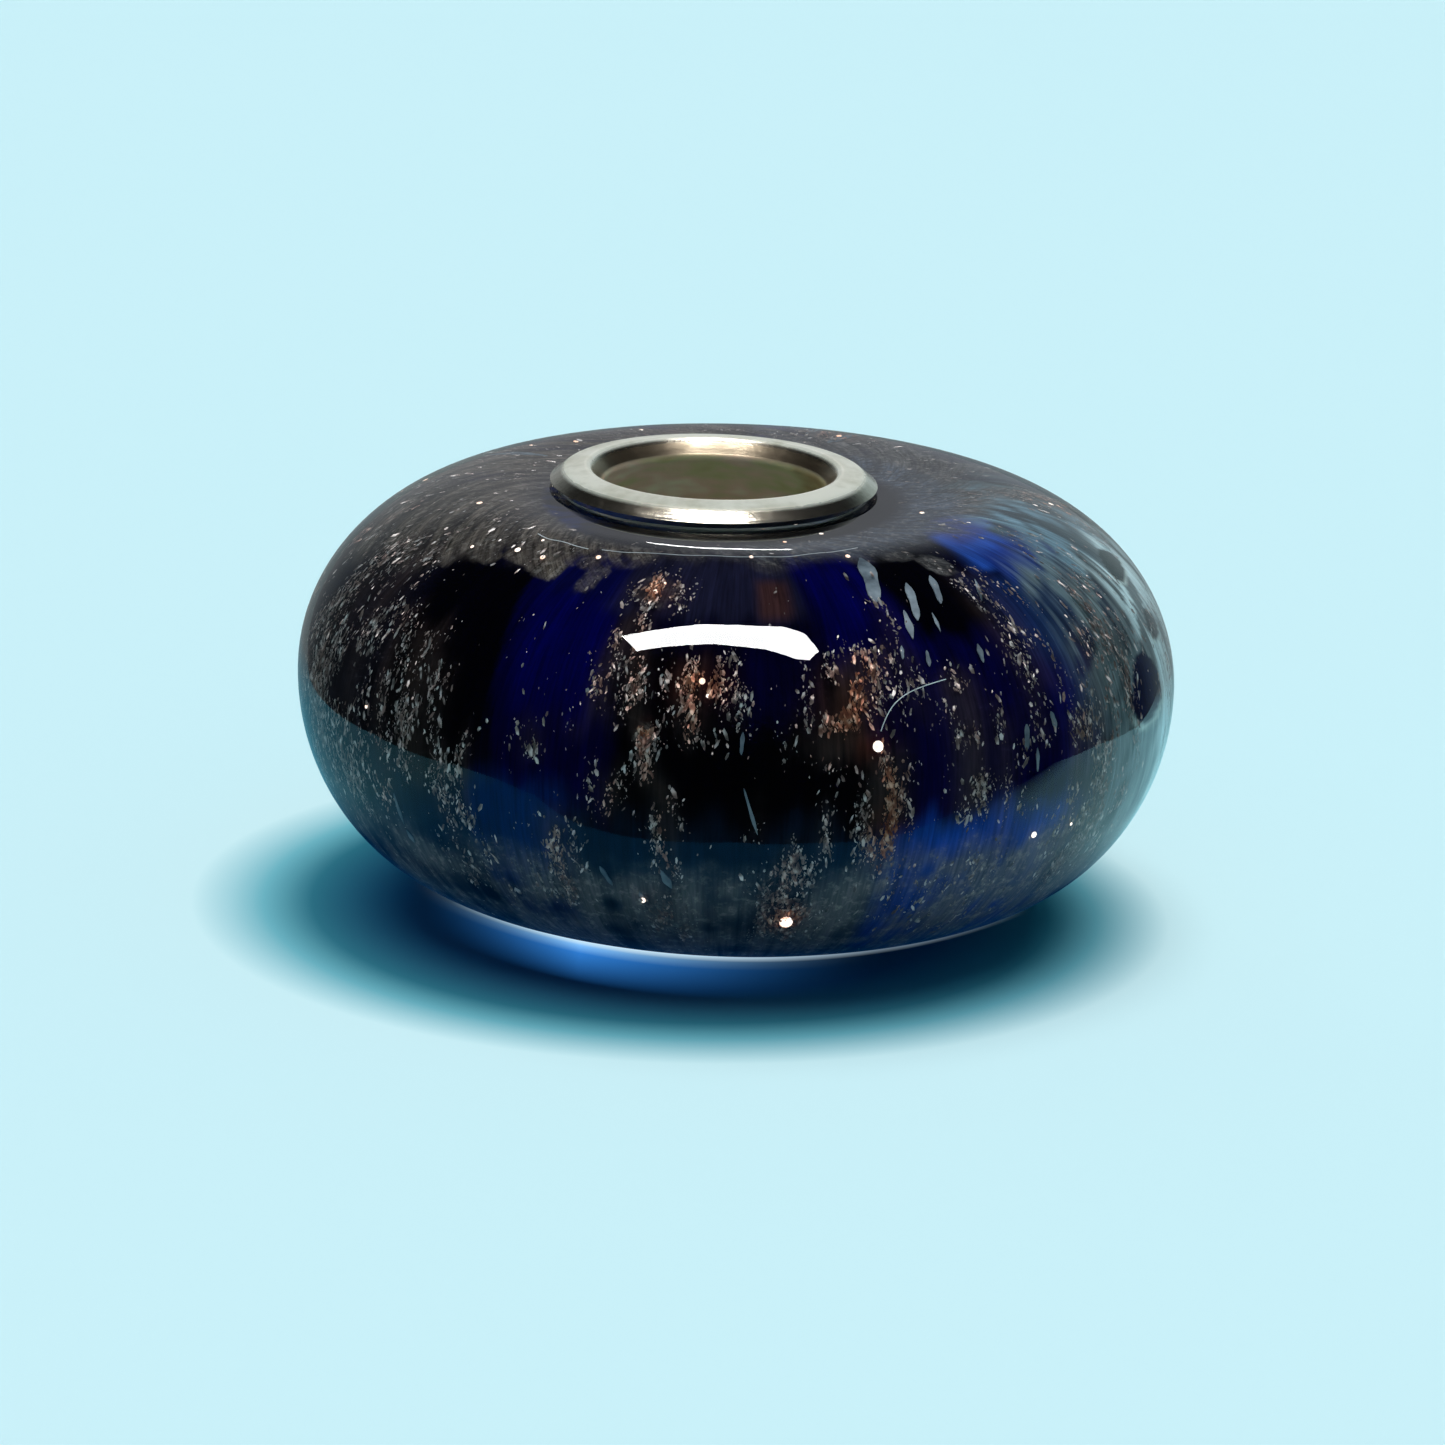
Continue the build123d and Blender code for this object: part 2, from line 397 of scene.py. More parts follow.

# %% [markdown]
# ## The pattern, by name
# The real bead was striped by hand: panels of blue and black glass run up and down, a brown haze of fine
# goldstone covers the shoulder, and streaks of larger grains hang from it. The rows below were read off and
# rounded, in degrees of azimuth and climb. The side that isn't seen from the front is laid out in the same
# manner from a fixed seed.

# %% Panels of coloured glass: azimuth from and to, climb from and to, soft edge of each, lean, colour
# The lightest blue paints light shining through the cobalt.
# The teal paints the floor's reflection in the lower glass.
night, black, navy, deep, royal, backlit_blue, teal = (
    (0.001, 0.001, 0.010), (0.0002, 0.0002, 0.002), (0.0003, 0.0003, 0.030), (0.0004, 0.0006, 0.060),
    (0.001, 0.005, 0.11), (0.022, 0.085, 0.42), (0.003, 0.010, 0.022))
PANELS = [
    ("left dusk", -95, -60, -12, 66, 8, 10, 0.0, (0.004, 0.005, 0.012)),
    ("left black", -60, -37, -12, 70, 4, 5, 0.0, black),
    ("left blue", -36.5, -17, -34, 77, 0.8, 6, 0.1, navy),
    ("left blue heart", -36, -22, 22, 76, 2, 12, 0.1, deep),
    ("front black", -17, 22, -22, 48, 2, 6, 0.0, black),
    ("front blue veil", -2, 12, 24, 50, 5, 8, 0.0, (0.0008, 0.0008, 0.022)),
    ("shoulder slate", -24, 10, 62, 96, 3, 5, 0.0, (0.011, 0.011, 0.03)),
    ("shoulder blue", -38, -24, 66, 92, 1.5, 3, 0.0, (0.001, 0.002, 0.045)),
    ("red band", 4, 9, 64, 84, 1.5, 4, 0.0, (0.05, 0.02, 0.02)),
    ("right blue", 13, 36, 42, 98, 3, 10, 0.1, deep),
    ("right blue foot", 20, 27, 18, 60, 3, 8, 0.0, navy),
    ("right black", 29, 50, 48, 93, 3, 6, 0.1, black),
    ("right stripes", 26, 52, -14, 48, 4, 6, 0.0, (0.0008, 0.0008, 0.03)),
    ("far right blue", 50, 64, -6, 68, 3, 8, 0.0, (0.001, 0.003, 0.075)),
    ("under sky", 50, 76, 34, 70, 5, 8, 0.0, (0.003, 0.02, 0.085)),
    # Painted light: these three patch rows paint bright blue where light from behind shines through the
    # cobalt.
    ("sky patch", 54, 72, 72, 94, 2, 2.5, -0.1, backlit_blue),
    ("sky patch top", 60, 82, 84, 99, 3, 2, -0.2, (0.03, 0.06, 0.3)),
    ("sky patch foot", 58, 78, 62, 77, 3, 4, 0.0, (0.008, 0.034, 0.25)),
    # Painted reflection: the lower teal band is the floor mirrored in the lower glass, all round.
    ("lower teal", -180, 180, -95, -14, 1, 9, 0.0, teal),
    ("lower left blue", -39, -24, -80, -6, 1.5, 6, 0.0, (0.0006, 0.012, 0.07)),
    ("lower right blue", 22, 58, -84, -14, 5, 8, 0.0, (0.006, 0.04, 0.27))]
# Pale films, with a share of cover before the colour. They are partly pale glass and partly a painted
# reflection of the pale floor; the edge row along the right edge is painted reflection only.
FILMS = [
    ("right film", 60, 104, -36, 66, 7, 12, 0.0, 0.95, (0.2, 0.26, 0.27)),
    ("high film", 74, 106, 52, 96, 6, 8, -0.2, 0.95, (0.17, 0.3, 0.38)),
    # Painted reflection: this row paints the pale floor mirrored along the right edge.
    ("edge film", 80, 104, -30, 50, 4, 10, 0.0, 1.0, (0.8, 0.97, 0.97)),
    ("film tail", 100, 124, 20, 96, 8, 14, 0.0, 0.5, (0.12, 0.18, 0.19))]
# Dark pools in the films: name, azimuth, climb, half width, half height, colour.
POOLS = [
    ("lower pool", 75.5, 9, 6.2, 11.5, (0.004, 0.008, 0.042)),
    ("upper pool", 87, 22, 3.0, 5.2, (0.001, 0.004, 0.014)),
    ("top pool", 90, 43, 5.0, 6.0, (0.01, 0.022, 0.024))]
# Flakes of haze near its edge: azimuth, climb, half width, half height, share.
CHIPS = [
    (-49, 77, 4.5, 6, 0.9), (-42, 76, 5.0, 8, 1.0), (-58, 71, 5, 6, 0.7), (-66, 62, 5, 7, 0.6),
    (-30.5, 76, 2.6, 9, 0.55), (-34, 84, 3.0, 5, 0.6), (-26, 88, 3.0, 4, 0.4), (-16, 74, 5.0, 8, 0.25),
    (46.5, 81, 3.6, 7, 0.9), (40, 91, 5, 5, 0.6), (83, 98, 8, 6, 0.9), (-12.5, 17, 1.3, 5, 1.0),
    (105, 76, 6, 8, 0.8), (126, 70, 4, 9, 0.9), (149, 79, 6, 7, 0.8), (171, 72, 4, 10, 0.9),
    (196, 80, 6, 6, 0.7), (222, 74, 5, 9, 0.9), (247, 82, 6, 6, 0.8)]
# Azimuth, and the climb there at which the clean glass round the hole begins. Then the same for the haze.
COLLAR = [
    (-180, 110), (-90, 101), (-50, 97), (-36, 96), (-22, 98), (-10, 104), (6, 109), (30, 112), (90, 112),
    (180, 110)]
HAZE_EDGE = [
    (-180, 66), (-120, 56), (-90, 42), (-76, 52), (-66, 63), (-56, 72), (-48, 80), (-38, 86), (-36, 93),
    (-20, 97), (10, 98), (24, 101), (38, 97), (50, 94), (58, 97), (70, 95), (80, 92), (100, 86), (130, 72),
    (160, 64), (180, 66)]
back_start, back_end, seam = 112.0, 262, -34
back_palette = [black, navy, deep, night, royal, (0.0008, 0.0008, 0.030), black, navy]
maker = np.random.default_rng(41)
azimuth_now = back_start
while azimuth_now < back_end:
    span = maker.uniform(9, 21)
    top = maker.uniform(64, 96)
    tint = back_palette[maker.integers(len(back_palette))]
    PANELS.insert(0, ("back panel", azimuth_now, azimuth_now + span, seam, top, 2.5, 7, 0.0, tint))
    azimuth_now += span
PANELS.append(("back lower blue", 150, 188, -84, -14, 6, 8, 0.0, (0.003, 0.026, 0.14)))
print("panels", len(PANELS))

# %% [markdown]
# Grains are laid in streaks. Each has an azimuth, a span of climb, a half width, a lean in degrees of
# azimuth per degree of climb, a share of grains and a warmth: 0 is pale beige, 1 is copper.

# %% Streaks and spots of grains
STREAKS = [
    (-76, -30, 60, 5.0, 0.03, 0.6, 0.25), (-66, -35, 62, 4.0, 0.04, 0.55, 0.2),
    (-58, -30, 42, 2.5, 0.05, 0.42, 0.35), (-51, -12, 40, 3.0, 0.05, 0.75, 0.25),
    (-46, -8, 28, 2.0, 0.05, 0.5, 0.2), (-43, -48, -4, 2.2, 0.02, 0.6, 0.3),
    (-39, -24, 6, 1.0, 0.02, 0.6, 0.3), (-36, -62, -30, 2.0, 0.02, 0.25, 0.25),
    (-29, 2, 20, 1.8, 0.0, 0.42, 0.05), (-25, -52, -18, 2.6, 0.05, 0.8, 0.4),
    (-22, 14, 20, 2.5, 0.0, 0.35, 0.1), (-19, 20, 62, 1.6, -0.01, 0.65, 0.45),
    (-17, -12, 4, 2.6, 0.0, 0.45, 0.5), (-15, 18, 60, 1.6, 0.04, 0.75, 0.55),
    (-12, -4, 24, 1.4, 0.1, 0.95, 0.6), (-9, -46, -2, 1.6, 0.02, 0.85, 0.5),
    (-9, -82, -40, 3.5, 0.0, 0.45, 0.4), (-6, 16, 44, 2.2, 0.02, 0.6, 0.7),
    (0, 22, 34, 1.4, 0.0, 0.3, 0.0), (3, -20, 0, 1.2, 0.0, 0.25, 0.05),
    (8, -68, -24, 3.0, -0.02, 0.95, 0.45), (13, -44, -6, 1.2, 0.0, 0.3, 0.15),
    (17, 10, 46, 5.0, -0.16, 0.9, 0.85), (22, -30, 14, 2.6, -0.02, 0.95, 0.8),
    (26, -56, -22, 2.4, 0.0, 0.45, 0.4), (27, 20, 70, 2.2, 0.04, 0.25, 0.0),
    (35, -14, 36, 2.8, 0.02, 0.9, 0.3), (41, -40, 20, 2.2, 0.02, 0.45, 0.2),
    (46, 6, 60, 2.0, 0.03, 0.3, 0.05), (50, 20, 74, 4.0, 0.03, 0.35, 0.05),
    (55, -50, 14, 3.2, -0.02, 1.00, 0.35), (61, -44, 40, 3.2, -0.04, 0.75, 0.3),
    (68, -46, 60, 3.2, -0.05, 0.5, 0.3), (36, -70, -30, 5.0, 0.0, 0.3, 0.25),
    (75, 20, 80, 6.0, 0.0, 0.25, 0.2), (88, -60, 30, 5.0, 0.0, 0.35, 0.3)]
azimuth_now, streaks_end = 100.0, 278
while azimuth_now < streaks_end:
    azimuth_now += maker.uniform(4, 10)
    low = maker.uniform(-60, 10)
    STREAKS.append((azimuth_now, low, low + maker.uniform(30, 80), maker.uniform(1.2, 4.5),
                    maker.uniform(-0.08, 0.08), maker.uniform(0.3, 1.0), maker.uniform(0.1, 0.8)))
# Spots of copper: azimuth, climb, half width, half height.
COPPER = [
    (-16, 73, 4, 7), (-5, 36, 4, 9), (-12, 18, 1.6, 4), (17, 28, 5, 13), (22, -14, 3, 8), (20, 14, 3, 6),
    (9, -52, 3, 8), (104, 60, 5, 12), (131, 25, 5, 12), (160, 66, 6, 9), (187, 10, 4, 12), (214, 50, 6, 10),
    (243, 30, 4, 12)]
print("streaks", len(STREAKS))

# %% [markdown]
# ## Noise that knows which way the glass was pulled
# A pattern in hot glass is drawn out along the pull, so plain noise looks wrong on it. This noise lives on
# a grid of azimuth and climb, closes on itself round the bead, and can be as long and thin as a streak.

# %% Drawn-out noise, and masks
table_rows, first_climb = 64, -130


def drawn_noise(azimuth, climb, across, along, seed, twist=0.0):
    """Smooth noise from 0 to 1. Its cells are `across` degrees wide and `along` degrees of climb long."""
    columns = max(int(round(360 / across)), 1)
    table = np.random.default_rng(seed).random((columns, table_rows))
    u = ((azimuth + twist * climb) % 360) / 360 * columns
    v = (climb - first_climb) / along
    i, j = np.floor(u).astype(int), np.floor(v).astype(int)
    fu, fv = u - i, v - j
    fu, fv = fu * fu * (3 - 2 * fu), fv * fv * (3 - 2 * fv)
    near, far, near_up, far_up = (
        table[(i + di) % columns, (j + dj) % table_rows] for di, dj in ((0, 0), (1, 0), (0, 1), (1, 1)))
    return (near * (1 - fu) + far * fu) * (1 - fv) + (near_up * (1 - fu) + far_up * fu) * fv


def rise(value, low, high):
    """0 below low, 1 above high, and a smooth rise from one to the other."""
    t = np.clip((value - low) / (high - low), 0, 1)
    return t * t * (3 - 2 * t)


def window(value, start, end, soft):
    """1 between start and end, 0 outside, with soft edges."""
    return rise(value, start - soft, start + soft) * (1 - rise(value, end - soft, end + soft))


def turned_to(azimuth, centre):
    """Azimuth from a centre, the short way round."""
    return (azimuth - centre + 180) % 360 - 180


def blend_to(first, mask, second):
    """Colours that go from the first to the second as the mask rises."""
    return np.asarray(first) * (1 - mask[:, None]) + np.asarray(second) * mask[:, None]


print("noise at the front", round(float(drawn_noise(np.array([0.0]), np.array([0.0]), 6, 60, 1)[0]), 3))

# %% Colour of every point of the cobalt
pool_rim, belly_dust, grain_bed, copper_bed = (
    (0.60, 0.70, 0.64), (0.17, 0.145, 0.14), (0.080, 0.050, 0.042), (0.11, 0.022, 0.008))
shoulder_left, shoulder_right = (0.102, 0.082, 0.068), (0.075, 0.070, 0.070)
crown_left, crown_right = (0.078, 0.068, 0.066), (0.050, 0.064, 0.092)
collar_dark, collar_blue = (0.006, 0.007, 0.014), (0.003, 0.020, 0.12)


def paint(azimuth, climb):
    """Colour, haze, dust, film, share of grains and warmth at arrays of azimuth and climb."""

    def cells(across, along, seed, twist=0.0):
        return drawn_noise(azimuth, climb, across, along, seed, twist)

    def patch(a0, a1, c0, c1, soft_a, soft_c, lean, drift, rag):
        """1 inside a span of azimuth and climb and 0 outside, with drifting, ragged edges."""
        middle, half = (a0 + a1) / 2, (a1 - a0) / 2
        place = turned_to(azimuth, middle) + drift + lean * (climb - (c0 + c1) / 2)
        across = window(place, -half, half, soft_a) if half < 175 else 1.0
        return across * window(climb + rag, c0, c1, soft_c)

    wobble, ragged = (cells(5, 40, 3) - 0.5) * 5, (cells(2.2, 30, 4) - 0.5) * 14
    colour = np.tile(np.array(night), (len(azimuth), 1))
    for _, *span, tint in PANELS:
        soft_a, soft_c = span[4:6]
        colour = blend_to(colour, patch(*span, wobble * min(soft_a, 3) / 3, ragged * soft_c / 10), tint)
    fine = cells(0.9, 34, 5) * 0.6 + cells(2.4, 60, 6) * 0.4
    colour = colour * (0.55 + 0.9 * fine)[:, None]

    swirl = cells(3.0, 16, 14, -0.5)
    film_and_reflection = np.zeros(len(azimuth))
    for _, *span, amount, tint in FILMS:
        drawn = 0.15 + 0.95 * rise(0.6 * fine + 0.4 * swirl, 0.34, 0.60)
        cover = np.clip(amount * patch(*span, wobble, ragged) * drawn, 0, 1)
        colour, film_and_reflection = blend_to(colour, cover, tint), np.maximum(film_and_reflection, cover)
    for _, a, c, wide, tall, tint in POOLS:
        up = (climb - c) / tall
        across = turned_to(azimuth, a) / (wide * (1 - 0.30 * np.clip(up, -1, 1)))
        reach = np.hypot(across, up) + 0.10 * (swirl - 0.5)
        rim = window(reach, 1.0, 1.16, 0.08) * rise(-up, 0.1, 0.9)
        outside = rise(reach, 0.92, 1.02)
        colour = blend_to(blend_to(colour, 0.9 * rim, pool_rim), 1 - outside, tint)
        film_and_reflection = film_and_reflection * outside

    edge = np.interp(azimuth, *np.array(HAZE_EDGE, float).T) + (cells(6, 200, 7) - 0.5) * 12
    brushed = cells(1.1, 12, 8, 0.7) * 0.6 + cells(3.5, 26, 9, 0.7) * 0.4
    cloud = cells(9, 14, 10) * 0.6 + cells(3, 6, 15) * 0.4
    haze = np.clip(rise(climb, edge - 10, edge + 6) * (0.05 + 1.7 * brushed), 0, 1)
    for a, c, wide, tall, amount in CHIPS:
        reach = np.hypot(turned_to(azimuth, a) / wide, (climb - c) / tall) + 0.5 * (cells(1.6, 5, 16) - 0.5)
        haze = np.maximum(haze, amount * (1 - rise(reach, 0.80, 1.0)) * (0.6 + 0.6 * brushed))
    side = rise(azimuth, -30, 50)
    dusty = blend_to(blend_to(shoulder_left, side, shoulder_right), rise(climb, 90, 99),
                     blend_to(crown_left, side, crown_right))
    colour = blend_to(colour, haze, dusty * (0.05 + 1.1 * cloud + 0.8 * brushed)[:, None])
    low = -climb + 12 * (cloud - 0.5) + 12 * window(azimuth, 20, 66, 6)
    belly = rise(low, 26, 50) * rise(0.4 * fine + 0.6 * cloud, 0.25, 0.65)
    colour = blend_to(colour, 0.85 * belly, belly_dust)
    start = np.interp(azimuth, *np.array(COLLAR, float).T)
    collar = rise(climb, start - 1, start + 2)
    blue = window(azimuth, -110, -48, 10) * rise(0.5 * cloud + 0.5 * swirl, 0.3, 0.6)
    colour = blend_to(colour, collar, blend_to(collar_dark, blue, collar_blue))
    haze, dust = haze * (1 - collar), np.maximum(haze, 1.5 * belly) * (1 - collar)

    warmth = np.zeros(len(azimuth))
    density = 0.008 + 0.10 * haze * (1 - 0.85 * rise(climb, 86, 97))
    for a, c0, c1, wide, lean, share, warm in STREAKS:
        place = turned_to(azimuth, a) + lean * (climb - (c0 + c1) / 2) + wobble * 0.4
        band = np.exp(-(place / wide) ** 2) * window(climb + ragged * 0.7, c0, c1, 6)
        density = density + share * band
        warmth = np.maximum(warmth, warm * band)
        colour = blend_to(colour, np.clip(0.7 * share * band * (0.2 + fine), 0, 1), grain_bed)
    for a, c, wide, tall in COPPER:
        spot = np.exp(-((turned_to(azimuth, a) + wobble * 0.5) / wide) ** 2 - ((climb - c) / tall) ** 2)
        density, warmth = density + 1.7 * spot, np.maximum(warmth, spot)
        colour = blend_to(colour, np.clip(0.4 * spot * (0.1 + fine), 0, 1), copper_bed)
    patches = rise(cells(1.3, 9, 11), 0.35, 0.8) * (0.4 + 0.9 * cells(4, 22, 12))
    return colour, haze, dust, film_and_reflection, np.clip(density * patches * (1 - collar), 0, 1), warmth


front = paint(np.array([0.0]), np.array([0.0]))[0][0]
print("colour at the front", [round(float(v), 4) for v in front])

# %% [markdown]
# ## The cobalt body
# Real cobalt glass is clear but so dark that almost nothing comes back through it. A clear body in a clear
# casing would also vanish in viewers that draw one layer of glass, so the cobalt is an opaque body that
# carries its colour on its surface. The pattern is stored on its points, and the shader adds the fine drawn
# streaks and the dust that are smaller than the mesh.

# %% The cobalt's mesh and its stored pattern
def cobalt_section(steps=66):
    high, low = glass_rise - wall, wall - glass_drop
    points = [(hole_radius, high)] + flat_run(hole_radius, upper_crown, high, 12) + outline(wall, steps)
    return points + flat_run(lower_crown, hole_radius, low, 8) + [(hole_radius, low)]


def cobalt_finish():
    glass = Finish("cobalt_glass", **{"IOR": 1.5, "Specular IOR Level": 0.0, "Roughness": 0.5})

    def strands(way, across, along, roughness):
        """Noise that is long and thin along a way stored on the points."""
        drawn = glass.vector_math("MULTIPLY", glass.attribute(way, "Vector"), (across, across, along))
        return glass.noise(1.0, 3.0, roughness, drawn)

    haze, film_and_reflection = glass.attribute("haze"), glass.attribute("film_and_reflection")
    threads, strokes = strands("drawn", 120, 5, 0.6), strands("pulled", 70, 14, 0.65)
    spark = glass.noise(8000, 3.0, 0.7).between(0.52, 0.66) * glass.attribute("dust")
    tint = glass.attribute("panel_colour", "Color")
    dark = glass.mix(threads.between(0.30, 0.70) * 0.55, tint, (0.0, 0.0, 0.0))
    brushed = glass.mix(1.0, dark, 1 + haze * (strokes.between(0.34, 0.66) * 1.5 - 0.75), "MULTIPLY")
    # Pale streaks, partly painted reflection of the pale floor.
    filmed = glass.mix(threads.between(0.40, 0.22) * film_and_reflection * 0.5, brushed, (0.40, 0.54, 0.56))
    glass.feed("Base Color", glass.mix(spark * 0.30, filmed, (0.34, 0.30, 0.27)))
    glass.feed("Roughness", 0.35 + threads * 0.3)
    return glass.material


cobalt = turned("cobalt_body_round", cobalt_section(), cobalt_segments, cobalt_finish(), **{
    "Side Shift": glass_shift, "Shift From": hole_radius, "Shift To": upper_crown})
places = np.empty(len(cobalt.data.vertices) * 3)
cobalt.data.vertices.foreach_get("co", places)
azimuth, climb = angles(places.reshape(-1, 3))
colour, haze, dust, film_and_reflection, density, warmth = paint(azimuth, climb)
layer = cobalt.data.color_attributes.new("panel_colour", "FLOAT_COLOR", "POINT")
layer.data.foreach_set("color", np.hstack([colour, np.ones((len(colour), 1))]).ravel())
stored = {"haze": haze, "dust": dust, "film_and_reflection": film_and_reflection, "grains": density, "warmth": warmth}
for label, values in stored.items():
    cobalt.data.attributes.new(label, "FLOAT", "POINT").data.foreach_set("value", values)
for label, twist in (("drawn", 0.0), ("pulled", 0.7)):
    around = np.radians(azimuth + twist * climb)
    ways = np.stack([np.sin(around), np.cos(around), climb / 90], axis=1)
    cobalt.data.attributes.new(label, "FLOAT_VECTOR", "POINT").data.foreach_set("vector", ways.ravel())
print("cobalt points", len(azimuth), "mean density", round(float(density.mean()), 3))

# %% [markdown]
# ## Goldstone grains
# Goldstone is glass full of copper crystals, crushed and rolled onto the hot bead. Seen close, it is
# thousands of thin plates, each at its own tilt, some at the cobalt and some a little up in the clear
# glass. Painted dots would lie flat, so Geometry Nodes scatters plates over the cobalt, more where the
# stored density is high.

# %% The scattering tree
scatter, given = new_tree("Scattered grains", {
    "Grains per Area": number, "Smallest": number, "Largest": number, "Tilt": number, "Lift": number,
    "Seed": whole, "Finish": finish_input})
share = scatter.make("GeometryNodeInputNamedAttribute", {"Name": "grains"}, {"data_type": "FLOAT"})
spread = scatter.node("GeometryNodeDistributePointsOnFaces", {
    "Mesh": given["Geometry"], "Seed": given["Seed"], "Density": given["Grains per Area"] * share},
    {"distribute_method": "RANDOM"})


def random_value(low, high, offset):
    """A random number for each point, or a random vector where low and high are vectors."""
    vector = isinstance(low, tuple)
    first, second, result = (0, 1, 0) if vector else (2, 3, 1)
    made = scatter.node("FunctionNodeRandomValue", {
        first: low, second: high, "Seed": given["Seed"] + float(offset)},
        {"data_type": "FLOAT_VECTOR" if vector else "FLOAT"})
    return scatter.out(made, result)


normal, loose_points = scatter.out(spread, "Normal"), scatter.out(spread, "Points")
lifted = scatter.scaled(normal, random_value(0.012 * mm, given["Lift"], 3))
seeds = scatter.make("GeometryNodeSetPosition", {"Geometry": loose_points, "Offset": lifted})
plate = scatter.make("GeometryNodeMeshCircle", {"Vertices": 5, "Radius": 1.0}, {"fill_type": "NGON"})
tilt = scatter.vector_math("MULTIPLY", random_value((-1, -1, -1), (1, 1, 1), 5), (1, 1, 0))
turn = scatter.joined(z=random_value(-0.6, 0.6, 7))
loose = scatter.vector_math("ADD", scatter.scaled(tilt, given["Tilt"]), turn)
facing = scatter.make("FunctionNodeAlignRotationToVector", {"Vector": normal}, {"axis": "Z"})
facing = scatter.make("FunctionNodeAlignRotationToVector", {"Rotation": facing, "Vector": (0, 0, 1)},
                      {"axis": "Y", "pivot_axis": "Z"})
rotation = scatter.make("FunctionNodeRotateRotation", {
    "Rotation": facing, "Rotate By": scatter.make("FunctionNodeEulerToRotation", {0: loose})},
    {"rotation_space": "LOCAL"})
even = random_value(0.0, 1.0, 11)
size = given["Smallest"] + (given["Largest"] - given["Smallest"]) * even * even * even * even
scale = scatter.scaled(random_value((0.40, 0.9, 1), (0.9, 2.4, 1), 13), size)
plates = scatter.make("GeometryNodeInstanceOnPoints", {
    "Points": seeds, "Instance": plate, "Rotation": rotation, "Scale": scale})
plates = scatter.make("GeometryNodeRealizeInstances", {"Geometry": plates})
plates = scatter.make("GeometryNodeSetMaterial", {"Geometry": plates, "Material": given["Finish"]})
scatter.node("NodeGroupOutput", {0: plates})
print("scatter nodes", len(scatter.tree.nodes))

# %% The grains' finish and the grains
def grain_finish():
    grain = Finish("goldstone", **{
        "Metallic": 0.45, "IOR": 1.5, "Specular IOR Level": 0.3, "Roughness": 0.3})
    pick = grain.noise(9000, 0.0)
    pale = grain.ramp(pick, [(0.30, (0.07, 0.052, 0.048)), (0.45, (0.14, 0.110, 0.10)),
                             (0.56, (0.24, 0.205, 0.19)), (0.74, (0.52, 0.48, 0.46))])
    copper = grain.ramp(pick, [(0.30, (0.10, 0.026, 0.012)), (0.45, (0.22, 0.070, 0.034)),
                               (0.57, (0.32, 0.13, 0.07)), (0.74, (0.62, 0.38, 0.26))])
    grain.feed("Base Color", grain.mix(grain.attribute("warmth").between(0.15, 0.85), pale, copper))
    grain.feed("Roughness", 0.25 + grain.noise(5000, 0.0) * 0.35)
    return grain.material


grains = finished("goldstone_grains", placed("grain_bed", cobalt.data.copy()), scatter.tree, {
    "Grains per Area": 1650e6, "Smallest": 0.009 * mm, "Largest": 0.050 * mm, "Tilt": 0.45,
    "Lift": 0.22 * mm, "Seed": 17, "Finish": grain_finish()})
print("grains", len(grains.data.polygons), "kept", [a.name for a in grains.data.attributes])

# %% [markdown]
# ## Slivers, crystals and stray threads
# A few flakes of silver leaf are big enough to have a shape: grey, pointed, upright. Here and there a large
# copper crystal flashes like a pinhead; that flash is a painted glint, made by the crystal's own emission.
# One hair of glass arches over a streak, and pale threads along the crown stand for a painted highlight
# line. These are few, so each is placed by its angles and built straight from points on the cobalt.

# %% Slivers of silver leaf: from azimuth and climb, to azimuth and climb, width in millimetres
SLIVERS = [
    (26, 68, 31, 93, 0.28), (32, 58, 35, 75, 0.15), (29.5, 51, 30.5, 63, 0.11), (38.5, 63, 41.5, 76, 0.13),
    (30.5, 40, 31, 46, 0.07), (40, 38, 40.5, 45, 0.09), (47, 60, 50, 69, 0.06), (44, 5, 44.5, 14, 0.11),
    (50, 10, 49.5, 16, 0.1), (46, -3, 46, 5, 0.06), (1.5, 0, 3.6, -16, 0.05), (1.0, 12, 1.2, 20, 0.07),
    (-54.5, -22, -54, -33, 0.07), (-54, -35, -53.3, -40, 0.1), (-13.5, -43, -13, -48, 0.06),
    (-10, -32, -8.5, -40, 0.11), (-19, -33, -17.5, -41, 0.08), (26.5, 44, 27, 49, 0.06),
    (35, 52, 35.5, 60, 0.05), (158, 60, 160, 82, 0.2), (166, 58, 167, 70, 0.11), (236, 62, 233, 84, 0.18),
    (229, 52, 228, 62, 0.1), (203, -30, 204, -12, 0.09), (120, -6, 121, 8, 0.08),
    (-100, 20, -99, 30, 0.08), (142, 8, 142, 22, 0.09)]
leaf_lift, leaf_thickness = 0.035 * mm, 0.02 * mm


def sliver(shell, a0, c0, a1, c1, width, steps=8):
    """A pointed leaf that follows the cobalt, thick enough to have two sides."""
    rails = []
    along = (surface_point(a1, c1)[0] - surface_point(a0, c0)[0]).normalized()
    for i in range(steps + 1):
        t = i / steps
        point, normal = surface_point(a0 + (a1 - a0) * t, c0 + (c1 - c0) * t, leaf_lift)
        half = width * mm / 2 * (0.12 + 0.88 * sin(pi * t) ** 0.7) * (1 + 0.22 * sin(9 * t + a0))
        side = along.cross(normal).normalized() * half
        back = normal * leaf_thickness
        rails.append([shell.verts.new(p) for p in (
            point - side, point + side, point + side - back, point - side - back)])
    for low, high in zip(rails, rails[1:]):
        for k in range(4):
            shell.faces.new((low[k], low[(k + 1) % 4], high[(k + 1) % 4], high[k]))
    shell.faces.new(rails[0][::-1])
    shell.faces.new(rails[-1])


